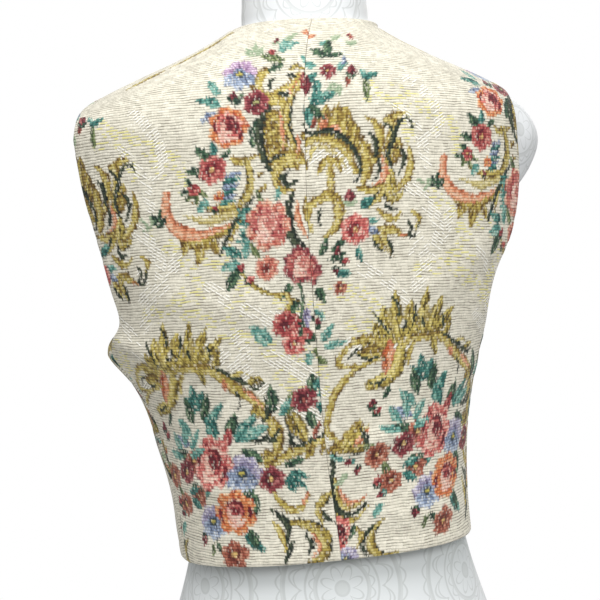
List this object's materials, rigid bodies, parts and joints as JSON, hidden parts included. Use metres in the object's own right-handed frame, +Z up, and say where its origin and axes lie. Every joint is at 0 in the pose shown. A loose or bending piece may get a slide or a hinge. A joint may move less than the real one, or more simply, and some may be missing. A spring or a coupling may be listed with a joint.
{
  "type": "lace-up waistcoat on a dress form",
  "caption": "Cropped sleeveless waistcoat of floral tapestry, laced down the front, worn by a smooth limbless dress form that stands on its flat base.",
  "frame": {"origin": "middle of the dress form's flat base, on the form's upright axis", "axes": "+Z up along the form's axis, -Y towards the laced front, +X towards the wearer's left"},
  "size_m": [0.384, 0.2578, 0.688],
  "materials": {
    "tapestry": "ribbed woven tapestry, matt with a slight sheen",
    "form_cover": "smooth stretch jersey",
    "brass": "antique satin",
    "lace": "matt braided cord"
  },
  "bodies": {
    "root": {"dress_form": "form_cover", "back_left": "tapestry", "back_right": "tapestry", "front_left": "tapestry", "front_right": "tapestry", "eyelet_left_1": "brass", "eyelet_left_2": "brass", "eyelet_left_3": "brass", "eyelet_left_4": "brass", "eyelet_left_5": "brass", "eyelet_left_6": "brass", "eyelet_right_1": "brass", "eyelet_right_2": "brass", "eyelet_right_3": "brass", "eyelet_right_4": "brass", "eyelet_right_5": "brass", "eyelet_right_6": "brass", "lace": "lace"}
  },
  "joints": []
}
